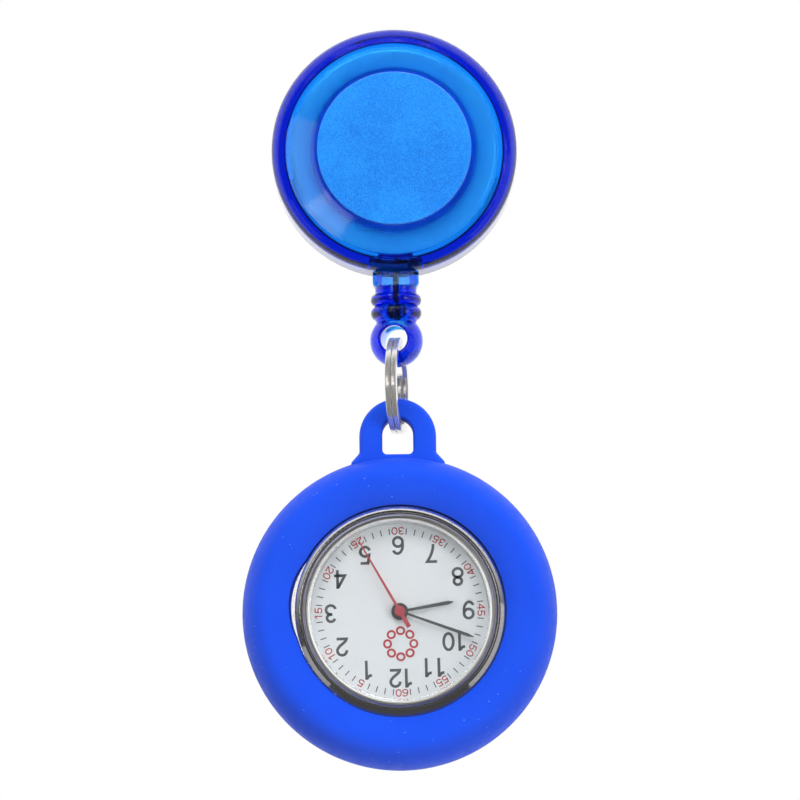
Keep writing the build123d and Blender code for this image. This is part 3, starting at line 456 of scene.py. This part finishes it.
# Strokes of the digits in a box 0.66 wide and 1 high. A pair is a point, and a longer entry is
# an arc: centre, radii, and the angles in degrees where it starts and ends.
DIGITS = {
    "0": [[(0.33, 0.5, 0.25, 0.4275, 90, 450)]],
    "1": [[(0.41, 0.0), (0.41, 1.0)], [(0.13, 0.775), (0.22, 0.785), (0.32, 0.84), (0.375, 0.95)]],
    "2": [[(0.325, 0.69, 0.245, 0.2375, 185, -35), (0.42, 0.43), (0.22, 0.27), (0.12, 0.17), (0.085, 0.0725),
           (0.60, 0.0725)]],
    "3": [[(0.31, 0.735, 0.205, 0.1925, 170, -90), (0.23, 0.5425)],
          [(0.23, 0.5425), (0.31, 0.3075, 0.245, 0.235, 90, -170)]],
    "4": [[(0.47, 0.0), (0.47, 0.985)], [(0.45, 0.93), (0.09, 0.30), (0.645, 0.30)]],
    "5": [[(0.575, 0.9275), (0.175, 0.9275), (0.115, 0.49), (0.32, 0.32, 0.245, 0.2475, 132, -165)]],
    "6": [[(0.335, 0.315, 0.24, 0.2425, 180, 540)], [(0.37, 0.49, 0.275, 0.4375, 195, 38)]],
    "7": [[(0.06, 0.9275), (0.575, 0.9275), (0.43, 0.70), (0.32, 0.45), (0.26, 0.22), (0.245, 0.0)]],
    "8": [[(0.33, 0.735, 0.205, 0.1925, 0, 360)], [(0.33, 0.30, 0.245, 0.2275, 0, 360)]],
    "9": [[(0.325, 0.685, 0.24, 0.2425, 0, 360)], [(0.29, 0.51, 0.275, 0.4375, 15, -142)]],
}


def stroke_points(entries):
    """A stroke's centre line, with its arcs divided finely."""
    points = []
    for entry in entries:
        if len(entry) == 2:
            points.append(Vector(entry))
            continue
        x, y, across, up, start, end = entry
        steps = max(6, int(abs(end - start) / ARC_STEP))
        for step in range(steps + 1):
            angle = radians(start + (end - start) * step / steps)
            points.append(Vector((x + across * cos(angle), y + up * sin(angle))))
    return points


def ribbon(points, width):
    """The left and right edges of a line of that width, mitred at its corners."""
    closed = (points[0] - points[-1]).length < 1e-6
    edges = []
    for index, point in enumerate(points):
        before = points[index - 1] if index else (points[-2] if closed else None)
        after = points[index + 1] if index < len(points) - 1 else (points[1] if closed else None)
        sides = [(b - a).normalized() for a, b in ((before, point), (point, after)) if a and b]
        along = sum(sides, Vector((0, 0))).normalized()
        across = Vector((-along.y, along.x))
        square = max(0.5, along.dot(sides[0]))
        edges.append((point + across * width / 2 / square, point - across * width / 2 / square))
    return edges


def ink(mesh, edges):
    """A closed strip of ink on the dial, from edges given as pairs of (right, up) in metres."""
    rings = []
    for left, right in edges:
        ring = []
        for corner, lift in ((left, 1), (right, 1), (right, 0), (left, 0)):
            y = DIAL_FRONT - lift * INK_THICKNESS
            ring.append(mesh.verts.new((-corner.x, y, WATCH_HEIGHT - corner.y)))
        rings.append(ring)
    for first, second in zip(rings, rings[1:]):
        for side in range(4):
            following = (side + 1) % 4
            mesh.faces.new((first[side], first[following], second[following], second[side]))
    mesh.faces.new(rings[0])
    mesh.faces.new(rings[-1])


def number(mesh, text, height, middle, turn, widening=1.0):
    """A number in ink, centred on a point and turned clockwise by an angle in degrees."""
    half_width = (DIGIT_PITCH * (len(text) - 1) + 2 * DIGIT_MIDDLE) / 2
    rotate = Matrix.Rotation(-radians(turn), 2)
    for index, digit in enumerate(text):
        corner = Vector((index * DIGIT_PITCH - half_width, -0.5))
        for entries in DIGITS[digit]:
            line = [Vector(((point.x + corner.x) * widening, point.y + corner.y))
                    for point in stroke_points(entries)]
            edges = ribbon(line, STROKE)
            ink(mesh, [[middle + rotate @ (side * height) for side in pair] for pair in edges])


def on_dial(radius, clockwise):
    """A point on the dial, as (right, up) in metres, at an angle in degrees from twelve."""
    angle = radians(clockwise + PRINT_TURN)
    return Vector((sin(angle), cos(angle))) * radius * MM


def dial_print():
    """The numbers and ticks: the grey ones as a piece, and the red ones as a mesh to add to."""
    grey, red = bmesh.new(), bmesh.new()
    for hour in range(1, 13):
        radius = HOUR_RADII.get(hour, HOUR_RADIUS)
        number(grey, str(hour), HOUR_HEIGHT, on_dial(radius, hour * 30), PRINT_TURN)
        minute = hour * 5
        turn = minute * 6 + PRINT_TURN + (180 if INWARD_FROM <= minute <= INWARD_TO else 0)
        number(red, str(minute), MINUTE_HEIGHT, on_dial(MINUTE_RADIUS, minute * 6), turn, MINUTE_WIDENING)
    for minute in range(60):
        if minute % 5:
            ends = [on_dial(radius, minute * 6) for radius in (TICK_NEAR, TICK_FAR)]
            ink(grey, ribbon(ends, TICK_WIDTH))
    return mesh_object("dial_numerals", grey, INK_GREY, smooth=False), red


PETALS, PETAL_STEPS, PETALS_RADIUS = 8, 24, 4.16
PETAL_NEAR, PETAL_FAR = 1.25 * MM, 2.15 * MM
PETAL_HALF_WIDTH, PETAL_STROKE = 0.48 * MM, 0.27 * MM


def ornament(red):
    """A ring of eight small outlined petals between the centre and twelve."""
    middle = on_dial(PETALS_RADIUS, 0)
    for petal in range(PETALS):
        rotate = Matrix.Rotation(2 * pi * petal / PETALS, 2)
        shape = []
        for step in range(PETAL_STEPS + 1):
            angle = 2 * pi * step / PETAL_STEPS
            along = (PETAL_NEAR + PETAL_FAR) / 2 + (PETAL_FAR - PETAL_NEAR) / 2 * cos(angle)
            shape.append(middle + rotate @ Vector((PETAL_HALF_WIDTH * sin(angle), along)))
        ink(red, ribbon(shape, PETAL_STROKE))


numerals, red_ink = dial_print()
ornament(red_ink)
minute_numbers = mesh_object("dial_minute_numbers", red_ink, INK_RED, smooth=False)
for piece in (numerals, minute_numbers):
    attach(piece, "watch")


# ---------------------------------------------------------------- cord

CORD_DIAMETER = 0.8 * MM
LAYER_TURNS, TURN_STEPS = 4.26, 12
WINDING_EXIT = (5.44 * MM, -11.0 * MM)
EXIT_SHARES = (1.0, 0.6, 0.25)
OUTLET_EDGE = -15.4 * MM
EDGE_ROUNDING = 0.3 * MM
NECK_END = -17.6 * MM
KNOT_OVERLAP = 0.4 * MM
STRETCH_STEPS = 14
KNOT_RADIUS, KNOT_SWING, KNOT_RISE, KNOT_STEPS = 0.62 * MM, 0.32 * MM, 0.42 * MM, 36


def cord_wound():
    """The cord on the drum: two layers of turns side by side, in one run."""
    groove_low = WINDING_LOW.y + CORD_DIAMETER / 2
    groove_high = WINDING_HIGH.y - CORD_DIAMETER / 2
    outer = WINDING_HIGH.x - CORD_DIAMETER / 2
    points = []
    for layer in (1, 0):
        reach = (outer - layer * CORD_DIAMETER) / cos(pi / TURN_STEPS)
        for step in range(int(LAYER_TURNS * TURN_STEPS) + 1):
            share = step / (LAYER_TURNS * TURN_STEPS)
            share = share if layer else 1 - share
            angle = 2 * pi * (step / TURN_STEPS + (0 if layer else LAYER_TURNS))
            y = groove_low + (groove_high - groove_low) * share
            points.append((reach * cos(angle), y, reach * sin(angle)))
    piece = cord_curve("cord_wound", points, CORD_DIAMETER, MATERIALS["cord_black"])
    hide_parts("cord_winding")
    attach(piece, "drum")
    return piece


def cord_free():
    """The short free length from the winding, over the outlet's edge and down to the knot."""
    across, height = WINDING_EXIT[0] - CORD_DIAMETER / 2, WINDING_EXIT[1]
    points = [(across * share, LINE_Y, height * share + OUTLET_EDGE * (1 - share)) for share in EXIT_SHARES]
    points.append((0.0, LINE_Y, OUTLET_EDGE - EDGE_ROUNDING))
    for step in range(STRETCH_STEPS + 1):
        z = NECK_END + (KNOT_TOP - KNOT_OVERLAP - NECK_END) * step / STRETCH_STEPS
        points.append((0.0, LINE_Y, z))
    piece = as_mesh(cord_curve("cord_line", points, CORD_DIAMETER, MATERIALS["cord_black"]))
    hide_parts("cord_run")
    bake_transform(piece)
    return piece


def knot():
    """An overhand knot drawn tight."""
    points = []
    for step in range(KNOT_STEPS):
        angle = 2 * pi * step / KNOT_STEPS
        radius = KNOT_RADIUS + KNOT_SWING * cos(3 * angle)
        points.append((radius * cos(2 * angle), LINE_Y + radius * sin(2 * angle),
                       KNOT_MIDDLE + KNOT_RISE * sin(3 * angle)))
    piece = cord_curve("cord_knot_tied", points, CORD_DIAMETER, MATERIALS["cord_black"], cyclic=True)
    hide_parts("cord_knot")
    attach(piece, "cord_end")
    return piece


for piece in (cord_wound(), cord_free(), knot()):
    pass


# ---------------------------------------------------------------- case back

BACK_LOW, BACK_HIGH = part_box("case_back")
# Each groove's inner radius, width and depth in millimetres.
BACK_GROOVES = ((7.4, 0.5, 0.14), (10.3, 0.35, 0.18))
GROOVE_WALL = 0.12
BACK_BEVEL = 0.1 * MM
BACK_STEPS = 144


def back_profile():
    """The plate's outline from its centre outside to its centre inside, as (radius, depth) in metres."""
    edge = (BACK_HIGH.x - BACK_LOW.x) / 2
    profile = [(0.0, BACK_HIGH.y)]
    for start, width, depth in BACK_GROOVES:
        for radius, sink in ((start, 0.0), (start + GROOVE_WALL, depth), (start + width - GROOVE_WALL, depth),
                             (start + width, 0.0)):
            profile.append((radius * MM, BACK_HIGH.y - sink * MM))
    return profile + [(edge - BACK_BEVEL, BACK_HIGH.y), (edge, BACK_HIGH.y - BACK_BEVEL), (edge, BACK_LOW.y),
                      (0.0, BACK_LOW.y)]


def case_back():
    """The snap-in back plate with two turned grooves round its middle."""
    mesh = bmesh.new()
    verts = [mesh.verts.new((radius, depth, 0)) for radius, depth in back_profile()]
    edges = [mesh.edges.new(pair) for pair in zip(verts, verts[1:])]
    bmesh.ops.spin(mesh, geom=verts + edges, axis=(0, 1, 0), cent=(0, 0, 0), angle=2 * pi, steps=BACK_STEPS,
                   use_merge=True)
    bmesh.ops.remove_doubles(mesh, verts=mesh.verts, dist=1e-7)
    bmesh.ops.translate(mesh, verts=mesh.verts, vec=(0, 0, WATCH_HEIGHT))
    piece = mesh_object("case_back_turned", mesh, MATERIALS["back_steel"])
    piece.data.set_sharp_from_angle(angle=radians(20))
    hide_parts("case_back")
    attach(piece, "watch")


case_back()


# ---------------------------------------------------------------- clip spring

PIN_DEPTH, PIN_HEIGHT = 2.9 * MM, 4.5 * MM
COIL_RADIUS, SPRING_WIRE, COIL_HALF_LENGTH = 1.35 * MM, 0.6 * MM, 1.32 * MM
COIL_TURNS, COIL_STEPS = 3.5, 12
LEG_TOP, BASE_LEG_DEPTH, LEVER_LEG_DEPTH = 11.2 * MM, 0.35 * MM, 6.05 * MM
LEG_FOOT = PIN_HEIGHT + 0.4 * MM


def clip_spring():
    """The clip's torsion spring: a coil round the pin, with one leg along the base and one along the lever.
    """
    base_foot, lever_foot = PIN_DEPTH - COIL_RADIUS, PIN_DEPTH + COIL_RADIUS
    count = int(COIL_TURNS * COIL_STEPS)
    reach = COIL_RADIUS / cos(pi / COIL_STEPS)
    points = [(-COIL_HALF_LENGTH, BASE_LEG_DEPTH, LEG_TOP), (-COIL_HALF_LENGTH, base_foot, LEG_FOOT)]
    for step in range(count):
        angle = pi + 2 * pi * (step + 0.5) / COIL_STEPS
        x = COIL_HALF_LENGTH * (2 * (step + 0.5) / count - 1)
        points.append((x, PIN_DEPTH + reach * cos(angle), PIN_HEIGHT + reach * sin(angle)))
    points += [(COIL_HALF_LENGTH, lever_foot, LEG_FOOT), (COIL_HALF_LENGTH, LEVER_LEG_DEPTH, LEG_TOP)]
    piece = as_mesh(cord_curve("clip_spring_wire", points, SPRING_WIRE, MATERIALS["spring_steel"]))
    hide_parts("clip_spring")
    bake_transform(piece)


clip_spring()


# ---------------------------------------------------------------- split ring

RING_TURN = radians(-8.0)
WIRE_WALL, WIRE_STRIP, WIRE_ROUNDING = 1.3 * MM, 0.7 * MM, 0.12 * MM
RING_RADIUS = 5.65 * MM
LAYER_PITCH = 0.76 * MM
JOG_HALF_TURN, JOG_ANGLE, END_GAP = 0.07, radians(126.0), 0.02
RING_STEPS = 240


def wire_section():
    """A flat wire's rounded outline, as (outwards, sideways)."""
    outline = []
    for corner, (across, up) in enumerate(((1, 1), (-1, 1), (-1, -1), (1, -1))):
        for step in range(5):
            angle = pi / 2 * (corner + step / 4)
            outline.append((across * (WIRE_WALL / 2 - WIRE_ROUNDING) + WIRE_ROUNDING * cos(angle),
                            up * (WIRE_STRIP / 2 - WIRE_ROUNDING) + WIRE_ROUNDING * sin(angle)))
    return outline


def split_ring():
    """Two flat turns of wire that cross from one side to the other behind the eye."""
    mesh = bmesh.new()
    outward = Vector((sin(RING_TURN), -cos(RING_TURN), 0))
    normal = Vector((cos(RING_TURN), sin(RING_TURN), 0))
    first, last = JOG_HALF_TURN + END_GAP, 2 - JOG_HALF_TURN - END_GAP
    rings = []
    for step in range(RING_STEPS + 1):
        turn = first + (last - first) * step / RING_STEPS
        cross = min(1.0, max(0.0, (turn - 1 + JOG_HALF_TURN) / (2 * JOG_HALF_TURN)))
        cross = cross * cross * (3 - 2 * cross)
        side = (cross - 0.5) * LAYER_PITCH
        angle = 2 * pi * turn + JOG_ANGLE
        radial = outward * cos(angle) + Vector((0, 0, 1)) * sin(angle)
        middle = Vector((0, LINE_Y, RING_CENTRE.z)) + radial * RING_RADIUS + normal * side
        rings.append([mesh.verts.new(middle + radial * across + normal * up)
                      for across, up in wire_section()])
    count = len(rings[0])
    for near, far in zip(rings, rings[1:]):
        for index in range(count):
            following = (index + 1) % count
            mesh.faces.new((near[index], near[following], far[following], far[index]))
    mesh.faces.new(rings[0])
    mesh.faces.new(rings[-1])
    piece = mesh_object("split_ring_wire", mesh, MATERIALS["ring_nickel"])
    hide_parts("split_ring")
    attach(piece, "ring")


split_ring()


# ---------------------------------------------------------------- studio

FLOOR_HEIGHT, FLOOR_SIZE = -0.76, 6.0
WORLD_FRONT = (0.0, -0.97, -0.24)
WORLD_TURNS_FROM, WORLD_TURNS_TO = -0.15, 0.35
WORLD_BACK_LIGHT, WORLD_FRONT_LIGHT = 1.15, 0.07

# Each light's place, what it points at, its width and height, its power in watts, and whether glossy
# surfaces mirror it.
LIGHTS = {
    "key_top": ((-0.15, -0.75, 0.75), (0, 0, -0.03), (0.9, 0.5), 17.0, False),
    "fill_left": ((-0.373, -0.935, 0.06), (0, 0, -0.06), (0.3, 0.36), 0.4, True),
    "fill_right": ((0.85, -0.75, -0.05), (0, 0, -0.03), (0.4, 0.6), 8.0, False),
    "fill_bezel_right": ((0.88, -0.34, -0.33), (0, 0, -0.06), (0.35, 0.9), 0.42, True),
    "fill_bezel_left": ((-0.82, -0.35, -0.5), (0, 0, -0.06), (0.35, 0.45), 0.17, True),
    "fill_neck": ((0.0, -1.0, 0.107), (0, 0, -0.017), (0.034, 0.02), 0.007, True),
    "fill_reel": ((-0.21, -1.0, -0.06), (0, 0, 0), (0.12, 0.1), 0.08, True),
}


def floor():
    mesh = bmesh.new()
    bmesh.ops.create_grid(mesh, x_segments=1, y_segments=1, size=FLOOR_SIZE)
    bmesh.ops.translate(mesh, verts=mesh.verts, vec=(0, 0, FLOOR_HEIGHT))
    finish = surface("floor_pale", (0.78, 0.78, 0.78, 1), (0.84, 0.84, 0.84, 1), 400.0, (0.7, 0.9), 3.0, 0.05)
    ground = mesh_object("floor", mesh, finish)
    ground.visible_glossy = False


def area_light(name, place, aim, size, power, mirrored):
    data = bpy.data.lights.new(name, "AREA")
    data.shape = "RECTANGLE"
    data.size, data.size_y = size
    data.energy = power
    lamp = add_object(name, data)
    lamp.location = place
    lamp.rotation_mode = "QUATERNION"
    lamp.visible_glossy = mirrored
    lamp.rotation_quaternion = (Vector(aim) - Vector(place)).to_track_quat("-Z", "Y")


def world():
    """White for the camera, and as a light bright from behind the object and dark from its front."""
    surround = bpy.data.worlds.new("studio")
    bpy.context.scene.world = surround
    surround.use_nodes = True
    tree = surround.node_tree
    tree.nodes.clear()

    def node(kind, inputs=(), **settings):
        made = tree.nodes.new(kind)
        for setting, value in settings.items():
            setattr(made, setting, value)
        for socket, value in dict(inputs).items():
            if isinstance(value, bpy.types.NodeSocket):
                tree.links.new(value, made.inputs[socket])
            else:
                made.inputs[socket].default_value = value
        return made

    direction = node("ShaderNodeTexCoord").outputs["Generated"]
    ahead = node("ShaderNodeVectorMath", {0: direction, 1: WORLD_FRONT}, operation="DOT_PRODUCT")
    shade = node("ShaderNodeMapRange", {
        "Value": ahead.outputs["Value"], "From Min": WORLD_TURNS_FROM, "From Max": WORLD_TURNS_TO,
        "To Min": WORLD_BACK_LIGHT, "To Max": WORLD_FRONT_LIGHT}, interpolation_type="SMOOTHSTEP")
    light = node("ShaderNodeBackground", {"Color": (1.0, 1.0, 1.0, 1.0), "Strength": shade.outputs["Result"]})
    seen = node("ShaderNodeBackground", {"Color": (1.0, 1.0, 1.0, 1.0), "Strength": 1.0})
    ray = node("ShaderNodeLightPath").outputs["Is Camera Ray"]
    mixed = node("ShaderNodeMixShader", {0: ray, 1: light.outputs[0], 2: seen.outputs[0]})
    node("ShaderNodeOutputWorld", {"Surface": mixed.outputs[0]})


CAMERA_DISTANCE = 1.3
CAMERA_ELEVATION, CAMERA_ROLL = radians(-7.0), radians(-0.71)
CAMERA_TARGET = Vector((0.36, -5.6, -32.45)) * MM
LENS, SENSOR_WIDTH = 449.3, 36.0
CLIP_NEAR, CLIP_FAR = 0.05, 20.0


def camera():
    data = bpy.data.cameras.new("camera")
    data.lens = LENS
    data.sensor_width = SENSOR_WIDTH
    data.clip_start, data.clip_end = CLIP_NEAR, CLIP_FAR
    seen = add_object("camera", data)
    forward = Vector((0, cos(CAMERA_ELEVATION), -sin(CAMERA_ELEVATION)))
    seen.location = CAMERA_TARGET - forward * CAMERA_DISTANCE
    seen.rotation_mode = "QUATERNION"
    upright = forward.to_track_quat("-Z", "Y")
    seen.rotation_quaternion = upright @ Matrix.Rotation(CAMERA_ROLL, 3, "Z").to_quaternion()
    bpy.context.scene.camera = seen


floor()
world()
for name, (place, aim, size, power, mirrored) in LIGHTS.items():
    area_light(name, place, aim, size, power, mirrored)
camera()
bpy.context.scene.view_settings.view_transform = "Standard"
